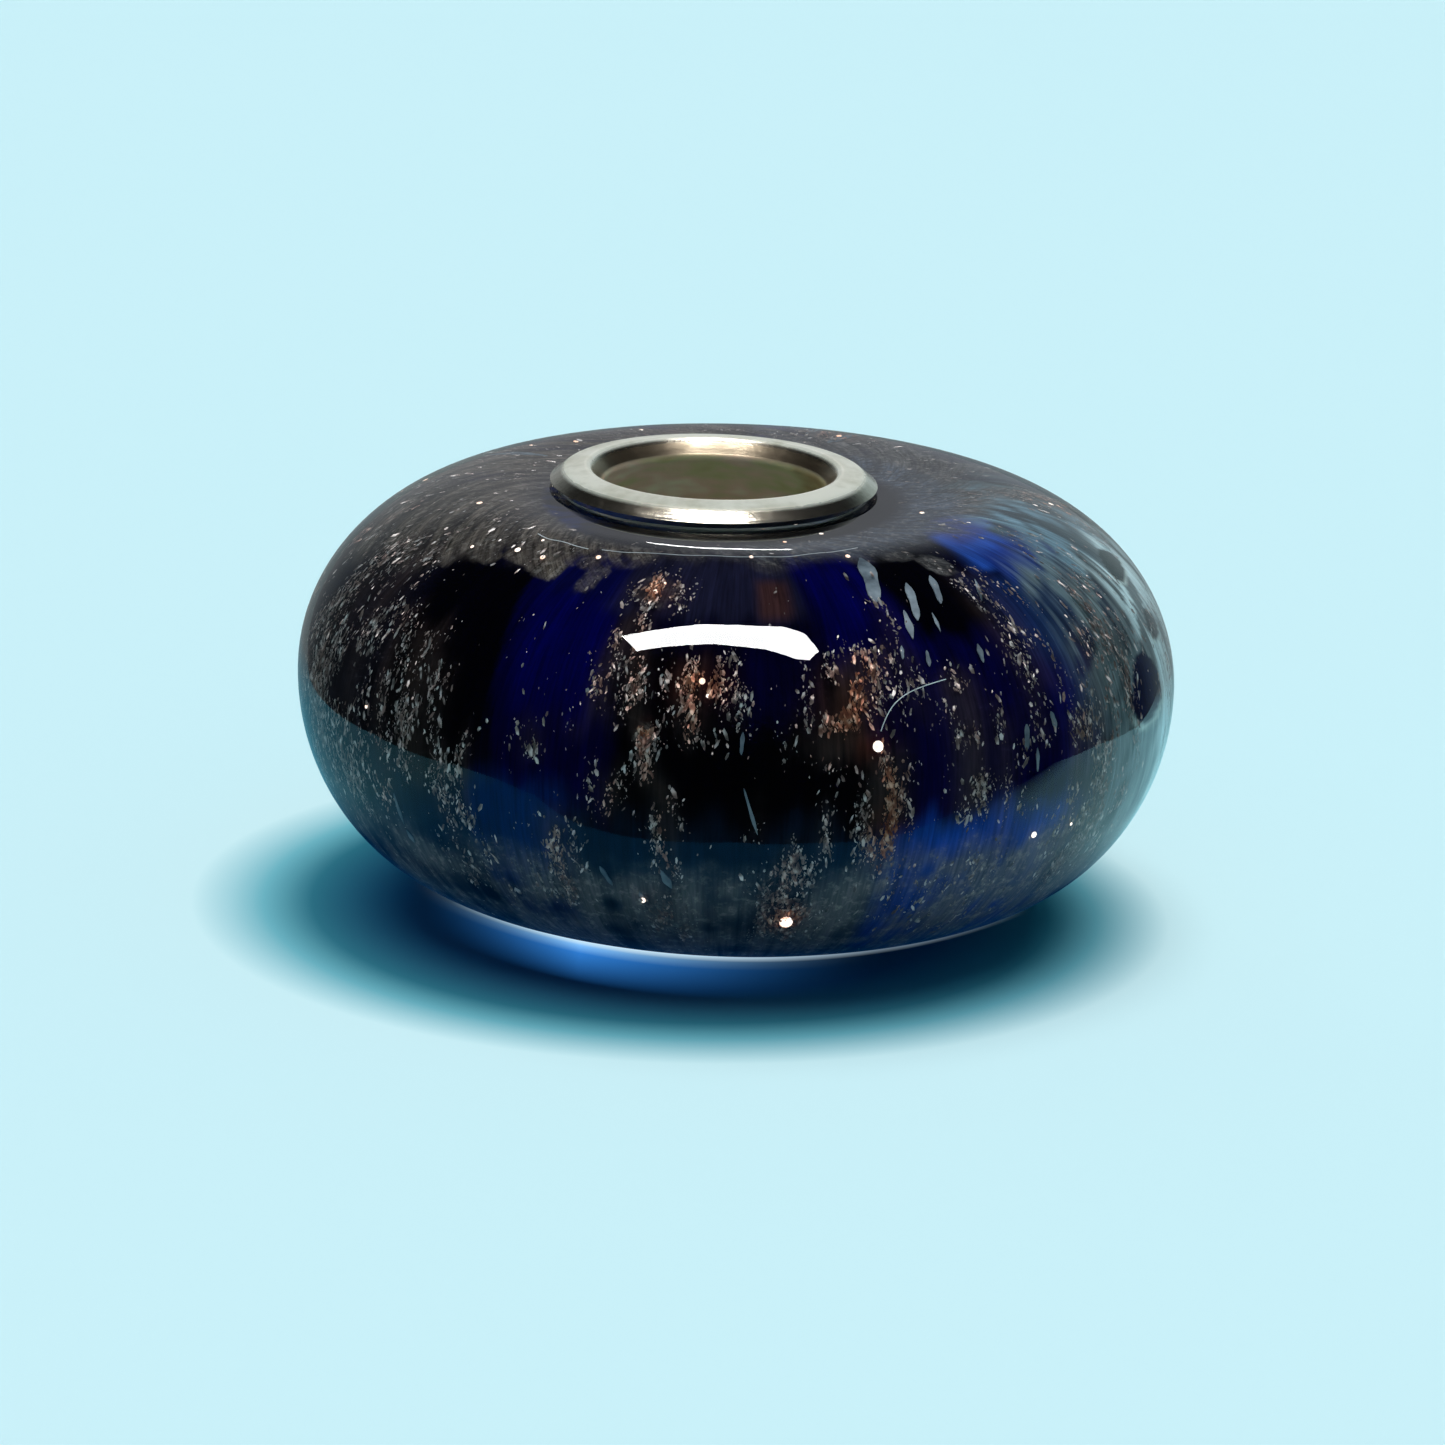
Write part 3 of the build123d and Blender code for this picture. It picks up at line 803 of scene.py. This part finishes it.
def mesh_piece(name, build, rows, finish):
    """One object made by a builder that adds each row of a table to the same shell."""
    shell = bmesh.new()
    for row in rows:
        build(shell, *row)
    bmesh.ops.recalc_face_normals(shell, faces=shell.faces)
    mesh = bpy.data.meshes.new(name)
    shell.to_mesh(mesh)
    shell.free()
    mesh.materials.append(finish)
    print(name, "faces", len(mesh.polygons))
    return placed(name, mesh)


def leaf_finish():
    leaf = Finish("silver_leaf", **{"Metallic": 0.3, "Roughness": 0.45, "IOR": 1.5})
    mottle = leaf.noise(2600, 3.0, 0.6)
    leaf.feed("Base Color", leaf.ramp(mottle, [(0.34, (0.045, 0.065, 0.085)), (0.66, (0.15, 0.19, 0.22))]))
    leaf.feed("Roughness", 0.3 + mottle * 0.3)
    return leaf.material


slivers = mesh_piece("silver_leaf_slivers", sliver, SLIVERS, leaf_finish())

# %% Copper crystals: azimuth, climb and radius in millimetres
CRYSTALS = [
    (-16, 72, 0.04), (-5, 37, 0.05), (-4, 32, 0.03), (20, 14, 0.085), (9, -54, 0.105), (-13, -46, 0.045),
    (47, -25, 0.05), (55, -25, 0.028), (-111, 55, 0.045), (-82, 81, 0.045), (-61, 69, 0.03),
    (-51, 76, 0.048), (-44, 77, 0.042), (-33, 85, 0.042), (-141, 76, 0.04), (-133, 69, 0.03),
    (-159, 69, 0.035), (3, 97, 0.035), (15, 111, 0.035), (32, 117, 0.04), (28, 94, 0.04),
    (79, 106, 0.045), (-15, 77, 0.026), (-50, 85, 0.026), (-60, 4, 0.03), (104, 62, 0.04),
    (131, 22, 0.05), (160, 70, 0.045), (187, 8, 0.06), (214, 55, 0.045), (243, 26, 0.05)]
crystal_lift = 0.05 * mm


def crystal(shell, a, c, radius):
    point, _ = surface_point(a, c, radius * mm + crystal_lift)
    bmesh.ops.create_icosphere(shell, subdivisions=2, radius=radius * mm, matrix=Matrix.Translation(point))


# Painted glint: the crystals glow white and orange by emission, though they are no lamp.
def crystal_glint_finish():
    bright = Finish("copper_crystal", **{
        "Base Color": (0.9, 0.62, 0.45, 1), "Metallic": 0.8, "Roughness": 0.2, "Emission Strength": 1.6})
    mottle = bright.noise(7000, 1.0)
    bright.feed("Emission Color", bright.ramp(mottle, [(0.3, (1.0, 0.55, 0.35)), (0.6, (1.0, 0.93, 0.85))]))
    return bright.material


crystals = mesh_piece("copper_crystals", crystal, CRYSTALS, crystal_glint_finish())

# %% Threads: radius in millimetres, then azimuth and climb. The first is a hair of glass; the other two trace a painted highlight line along the crown
THREADS = [
    (0.007, [(20.5, 19), (21.5, 24), (23.5, 29), (27, 32.5), (32, 34)]),
    (0.008, [(-53, 86), (-49, 85), (-45, 87), (-40, 86.5), (-37, 87)]),
    (0.006, [(-34, 88.5), (-29, 89.5), (-25, 91.5), (-20, 93), (-14, 93.6), (-8, 95.2), (0, 95), (6, 95.8),
         (12, 95), (20, 97), (26, 96.4), (33, 97.5)])]
thread_lift = 0.16 * mm


def thread(shell, radius, route):
    """A round thread over the cobalt through the given angles."""
    curve = bpy.data.curves.new("thread_line", "CURVE")
    curve.dimensions, curve.bevel_depth, curve.bevel_resolution = "3D", radius * mm, 2
    curve.use_fill_caps = True
    line = curve.splines.new("NURBS")
    line.points.add(len(route) - 1)
    for point, (a, c) in zip(line.points, route):
        point.co = (*surface_point(a, c, thread_lift)[0], 1)
    line.order_u, line.use_endpoint_u = 3, True
    hidden = placed("thread_line", curve)
    mesh = bpy.data.meshes.new_from_object(hidden.evaluated_get(bpy.context.evaluated_depsgraph_get()))
    bpy.data.objects.remove(hidden)
    shell.from_mesh(mesh)
    bpy.data.meshes.remove(mesh)


# Painted highlight: the two crown threads are pale glass laid where a bright line of reflected light runs;
# the first thread is a hair of glass.
pale_thread = Finish("pale_thread", **{"Base Color": (0.66, 0.66, 0.66, 1), "Roughness": 0.4, "IOR": 1.5})
threads = mesh_piece("fine_threads_and_highlight_lines", thread, THREADS, pale_thread.material)

# %% [markdown]
# ## The silver core
# A thin tube is flared at both ends over the glass. Its flat land is satin from wear, its lips are bright,
# and the bore is brown with tarnish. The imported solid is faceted, so the same section is turned again,
# finely.

# %% The core's section and finish
bore_radius, tube_radius, flange_radius, seat = 1.83 * mm, 2.3 * mm, core_high.x, 0.08 * mm
flare, flare_reach, land_reach, bevel_reach = 0.31 * mm, 2.07 * mm, 2.46 * mm, 2.65 * mm


def rounded(corners, steps=6):
    """A closed outline of (radius, height, round) corners with each corner rounded."""
    made, count = [], len(corners)
    for i, (x, y, size) in enumerate(corners):
        here = Vector((x, y))
        before = (Vector(corners[i - 1][:2]) - here).normalized()
        after = (Vector(corners[(i + 1) % count][:2]) - here).normalized()
        for k in range(steps + 1):
            t = k / steps
            made.append(tuple(here + before * size * (1 - t) ** 2 + after * size * t ** 2))
    return made


def flange_corners(top, seat_level, way):
    """One flange from the bore out to the tube: flare, land, bevel, rim. way is 1 above and -1 below."""
    return [(bore_radius, top - flare * way, 0.07 * mm), (flare_reach, top, 0.09 * mm),
            (land_reach, top - 0.07 * mm * way, 0.08 * mm), (bevel_reach, top - 0.225 * mm * way, 0.02 * mm),
            (flange_radius, seat_level + 0.01 * mm * way, 0.01 * mm),
            (flange_radius - 0.05 * mm, seat_level, 0.02 * mm), (tube_radius, seat_level, 0.06 * mm)]


def silver_finish():
    silver = Finish("silver", **{"Metallic": 1.0, "Roughness": 0.22, "IOR": 1.5})
    x, y, z = silver.millimetres()
    reach = silver.math("SQRT", x * x + y * y)
    bore, lip = 1 - reach.between(1.835, 1.87), 1 - reach.between(1.98, 2.03)
    land = reach.between(2.01, 2.05) * (1 - reach.between(2.46, 2.54))
    level = silver.math("ABSOLUTE", z).between(glass_rise / mm, (glass_rise + seat / 2) / mm)
    tube = reach.between(2.26, 2.28) * (1 - reach.between(2.32, 2.36)) * (1 - level)
    turned_marks = silver.noise(1.0, 2.0, 0.6, silver.joined(reach * 9.0, z * 4.0))
    scuffs, stain = silver.noise(2000, 4.0, 0.7), silver.noise(1100, 4.0, 0.7)
    stretched = silver.make("ShaderNodeMapping", {"Vector": silver.place, "Scale": (420, 420, 1500)})
    bands = silver.noise(1.0, 3.0, 0.6, stretched)
    clean = silver.mix(stain.between(0.46, 0.66) * 0.6, (0.98, 0.90, 0.76), (0.62, 0.55, 0.40))
    clean = silver.mix(lip, clean, (0.56, 0.46, 0.33))
    tarnish = silver.ramp(bands, [(0.32, (0.42, 0.28, 0.12)), (0.45, (0.62, 0.54, 0.26)),
                                  (0.54, (0.80, 0.54, 0.38)), (0.64, (0.90, 0.84, 0.58))])
    fused = silver.mix(x.between(-1.6, -0.4), (0.003, 0.022, 0.13), (0.004, 0.005, 0.012))
    silver.feed("Base Color", silver.mix(tube, silver.mix(bore, clean, tarnish), fused))
    silver.feed("Metallic", (1 - land * 0.72 - bore * 0.85) * (1 - tube))
    silver.feed("Roughness", 0.14 + turned_marks * 0.06 + scuffs.between(0.5, 0.8) * 0.10 + land * 0.12
                + lip * 0.13 + bore * 0.2)
    silver.bump(turned_marks * 0.6 + scuffs + bore * bands * 1.5, 0.35, 0.02 * mm)
    return silver.material


upper_flange = flange_corners(core_high.z, glass_rise + seat, 1)
lower_flange = flange_corners(core_low.z, -glass_drop - seat, -1)
core_section = rounded(upper_flange + lower_flange[::-1])
core = turned("silver_core_tube", core_section, core_segments, silver_finish(), **{
    "Wobble": 0.012 * mm, "Wobble Scale": 420.0})

# %% [markdown]
# ## Riding, and standing for the solids
# Nothing on a one-piece bead moves, so every piece rides on the one body. The finished pieces stand for the
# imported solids, which stay hidden for the motion model.

# %% Pieces on the body
streak_nodes = sorted(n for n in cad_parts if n.startswith("goldstone_streak"))
sliver_nodes = sorted(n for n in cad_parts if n.startswith("silver_sliver"))
for piece, slot_name, nodes in (
        (casing, "clear_glass", ["clear_casing"]), (cobalt, "cobalt_glass", ["cobalt_body"]),
        (grains, "goldstone", streak_nodes), (slivers, "silver_leaf", sliver_nodes),
        (crystals, "goldstone", []), (threads, "silver_leaf", []), (core, "silver", ["silver_core"])):
    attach(piece, "root")
    if nodes:
        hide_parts(*nodes)
print("pieces ride on root")

# %% [markdown]
# ## Floor and light
# The bead stands on a pale floor, under one soft sun from behind. What the glass mirrors is built apart from
# that, from sheets that reflections alone see: a window card nearly overhead for the bright bar on the
# shoulder, a low card behind for the white line before the ring, and a glowing sheet on the floor for its
# paleness. Lamps would light the floor too, so cards are easier to shape. The bead's shadow and the blue
# light that real cobalt glass throws below it are painted into the floor's own material: a painted shadow
# round the bead, a painted blue glow before its foot, and a painted pale line along that foot.

# %% The floor, and the floor that the glass mirrors
def stage_sheet(name, points, finish):
    """A flat sheet with the given corner points, which isn't part of the bead."""
    mesh = bpy.data.meshes.new(name)
    mesh.from_pydata(points, [], [range(len(points))])
    mesh.materials.append(finish)
    made = placed(name, mesh)
    return made


def mirror_sheet(name, points, finish):
    """A stage sheet that reflections alone see."""
    sheet = stage_sheet(name, points, finish)
    for sight in ("camera", "diffuse", "transmission", "shadow", "volume_scatter"):
        setattr(sheet, "visible_" + sight, False)
    return sheet


# In the photograph's view the glass covers the floor up to half an ellipse, as wide as the glass.
foot_centre, foot_depth = 7.96, 11.5


def floor_with_painted_light():
    pale = Finish("pale_floor", **{"Roughness": 0.9, "Specular IOR Level": 0.1, "Emission Strength": 1.0})
    floor_x, y, _ = pale.millimetres()
    x = floor_x - glass_shift / mm
    off_x, off_y = x + 0.8, y + 0.9
    # Painted shadow: the floor turns dark blue-teal within a few millimetres of the bead, where its shadow
    # falls.
    painted_shadow = pale.ramp(pale.math("SQRT", off_x * off_x + off_y * off_y).between(4, 9), [
        (0.10, (0.01, 0.10, 0.26)), (0.42, (0.05, 0.24, 0.32)),
        (0.58, (0.26, 0.56, 0.63)), (0.82, (1.0, 1.0, 1.0))])
    plain = pale.mix(pale.noise(60, 2.0) * 0.12, (0.68, 0.89, 0.90), (0.76, 0.91, 0.92))
    pale.feed("Base Color", pale.mix(1.0, plain, painted_shadow, "MULTIPLY"))
    across = x / (glass_radius / mm)
    bow = pale.math("SQRT", pale.math("MAXIMUM", 1 - across * across, 0.0))
    gap = foot_centre - foot_depth * bow - y
    fade_in, fade_out = x.between(-5.4, -2.4), 1 - x.between(-2.4, 2.6)
    left_part = fade_in * fade_in * fade_out * fade_out
    # Painted light: a blue glow on the floor just before the glass's foot, on the left, for light that
    # cobalt glass throws.
    blue = pale.ramp(gap.between(0.0, 2.2), [
        (0.0, (0.55, 0.85, 1.0)), (0.15, (0.20, 0.50, 0.95)),
        (0.32, (0.03, 0.20, 0.62)), (1.0, (0.0, 0.0, 0.0))])
    glow = pale.mix(gap.between(-1.2, -0.2) * left_part, (0.0, 0.0, 0.0), blue)
    # Painted highlight: a thin pale line along the glass's foot, mostly on the left.
    edge = gap.between(-0.3, -0.1) * (1 - gap.between(0.04, 0.28))
    edge = edge * x.between(-4.6, -2.2) * (0.25 + 0.75 * fade_out) * (1 - x.between(3, 5))
    pale.feed("Emission Color", pale.mix(edge, glow, (0.60, 0.80, 0.95)))
    return pale.material


far = 1.5
floor_corners = [(x * far, y * far, floor_level) for x, y in ((-1, -1), (1, -1), (1, 1), (-1, 1))]
floor = stage_sheet("floor", floor_corners, floor_with_painted_light())
floor.visible_glossy = False
# Corners of the mirrored floor, in millimetres: ragged before the bead, and far away behind it.
MIRRORED_FLOOR = [
    (-15.5, -9), (-13, -11), (-9.4, -11.6), (-7, -10.7), (-5.3, -10.2), (-3.2, -10.2), (0.5, -10.9),
    (3, -10.6), (4.8, -10), (6.8, -9.5), (9.7, -9.5), (15, -8.8), (22.5, -5.6), (24.3, 1.7), (20, 8),
    (30, 60), (300, 1200), (-300, 1200), (-28, 60), (-15.2, 12), (-17, 5.7), (-18.5, -0.2), (-17, -4.4)]


def mirrored_finish():
    """A glow that is teal beside the bead, nearly dark before it, and darkest under it, where it paints the
    bead's shadow on the mirrored floor.
    """
    sheet = Finish("mirrored_floor", **{
        "Base Color": (0, 0, 0, 1), "Specular IOR Level": 0.0, "Emission Strength": 1.0})
    x, y, _ = sheet.millimetres()
    beside = (sheet.math("ABSOLUTE", x) + (y + 7) * 0.8).between(9, 13.5)
    under = 1 - sheet.math("SQRT", x * x + y * y).between(6.2, 8.5)
    side_tone = sheet.mix(x.between(-6, 8), (0.09, 0.31, 0.41), (0.34, 0.72, 0.82))
    tone = sheet.mix(beside, (0.012, 0.13, 0.30), side_tone)
    tone = sheet.mix(y.between(8, 17), tone, (0.22, 0.27, 0.28))
    tone = sheet.mix(under, tone, (0.0, 0.02, 0.07))
    inward = ((y + 8.2) * 0.946 - (x - 9.7) * 0.324).between(-1.3, 1.5)
    shown = sheet.math("MAXIMUM", inward, 1 - x.between(8, 10.5))
    sheet.feed("Emission Color", sheet.mix(shown, (0.0, 0.0, 0.0), tone))
    return sheet.material


mirror_sheet("mirrored_floor", [(x * mm, y * mm, floor_level + 0.05 * mm) for x, y in MIRRORED_FLOOR],
             mirrored_finish())
print("floor at", round(floor_level, 6))

# %% Cards, the sun and the world
# Corners of the cards, in millimetres: across to the right, and up the card.
WINDOW = [
    (-44, 2), (-24, 12), (-4, 22), (29, 22), (39, 13), (51, -16), (49, -32), (41, -31), (22, -17),
    (-2, -11), (-26, -17), (-41, -24)]
LINE = [
    (-4.6, 0.4), (-1.4, 0.4), (-0.6, 3.2), (3.6, 3.2), (3.6, 0.2), (-0.2, 0.2), (-1.0, -2.6), (-4.6, -2.6)]


def light_card(name, corners, centre, radiance):
    """A glowing card that faces the bead."""
    up = centre.normalized().cross(Vector((1, 0, 0))).normalized()
    glow = Finish(name, **{
        "Base Color": (0, 0, 0, 1), "Emission Color": (1, 1, 1, 1), "Emission Strength": radiance})
    points = [centre + Vector((across * mm, 0, 0)) + up * along * mm for across, along in corners]
    return mirror_sheet(name, points, glow.material)


overhead, low_behind = radians(81), radians(19.3)
window_reach, line_reach = 0.15, 0.2
window_centre = Vector((-10 * mm, -window_reach * cos(overhead), window_reach * sin(overhead)))
window_card = light_card("window_card", WINDOW, window_centre, 26.0)
light_card("line_card", LINE, Vector((0, line_reach * cos(low_behind), line_reach * sin(low_behind))), 12.0)
print("window card spans", [round(v, 3) for v in window_card.dimensions])
ceiling = bpy.data.lights.new("ceiling", "SUN")
ceiling.energy, ceiling.angle = 2.6, radians(46)
ceiling_lamp = placed("ceiling", ceiling)
ceiling_lamp.rotation_euler = (radians(-14), 0, 0)
ceiling_lamp.visible_glossy = False


def studio_world():
    """Pale to the camera, blue as a fill light, and in reflections dark but for a pale part low behind."""
    world = bpy.data.worlds.new("studio")
    bpy.context.scene.world = world
    world.use_nodes = True
    world.node_tree.nodes.clear()
    sky_bench = Bench(world.node_tree)
    x, y, z = sky_bench.split(sky_bench.out(sky_bench.node("ShaderNodeTexCoord"), "Generated"))
    behind, low = y.between(0.60, 0.96), 1 - z.between(0.40, 0.62)
    pale = sky_bench.ramp(x.between(-1, 1), [
        (0.15, (0.16, 0.20, 0.21)), (0.5, (0.29, 0.30, 0.32)), (0.85, (0.50, 0.70, 0.74))])
    mirrored = sky_bench.mix(behind * behind * low, (0.008, 0.009, 0.010), pale)
    paths = sky_bench.node("ShaderNodeLightPath")
    filled = sky_bench.mix(sky_bench.out(paths, "Is Diffuse Ray"), mirrored, (0.06, 0.19, 0.26))
    seen = sky_bench.mix(sky_bench.out(paths, "Is Camera Ray"), filled, (0.62, 0.83, 0.87))
    back = sky_bench.make("ShaderNodeBackground", {"Color": seen, "Strength": 1.0})
    sky_bench.node("ShaderNodeOutputWorld", {0: back})


studio_world()

# %% [markdown]
# ## The camera
# The view is the photograph's: about 13 cm away, 16 degrees above level, a long lens, and a slight
# roll. These numbers come from fitting the bead's outline and the ring's ellipse in the photograph.

# %% The camera, from the fitted view
view_distance, view_rise, view_roll = 130.5 * mm, radians(16.31), radians(1.82)
aim_point = Vector((0.268, 0, -0.863)) * mm
focal_pixels, frame_pixels, sensor = 7864.8, 1445, 36.0
back = Vector((0, -cos(view_rise), sin(view_rise)))
up, right = Vector((0, sin(view_rise), cos(view_rise))), Vector((1, 0, 0))
tilted_right = right * cos(view_roll) + up * sin(view_roll)
tilted_up = up * cos(view_roll) - right * sin(view_roll)
camera_data = bpy.data.cameras.new("camera")
camera_data.sensor_width = sensor
camera_data.lens = focal_pixels / frame_pixels * sensor
camera_data.clip_start, camera_data.clip_end = 0.005, 10
camera = placed("camera", camera_data)
camera.matrix_world = Matrix.Translation(aim_point + back * view_distance) @ Matrix(
    (tilted_right, tilted_up, back)).transposed().to_4x4()
bpy.context.scene.camera = camera
print("lens", round(camera_data.lens, 2))

# %% [markdown]
# ## How light is followed
# Glass needs a few more bounces than the default, and no caustics: light reaches the inside by the straight
# way that the casing leaves open. The plain Standard view keeps blacks black and the pale floor pale.

# %% Light paths and the view transform
scene = bpy.context.scene
scene.cycles.max_bounces, scene.cycles.transmission_bounces, scene.cycles.transparent_max_bounces = 14, 8, 16
scene.cycles.caustics_reflective = scene.cycles.caustics_refractive = False
scene.view_settings.view_transform = "Standard"
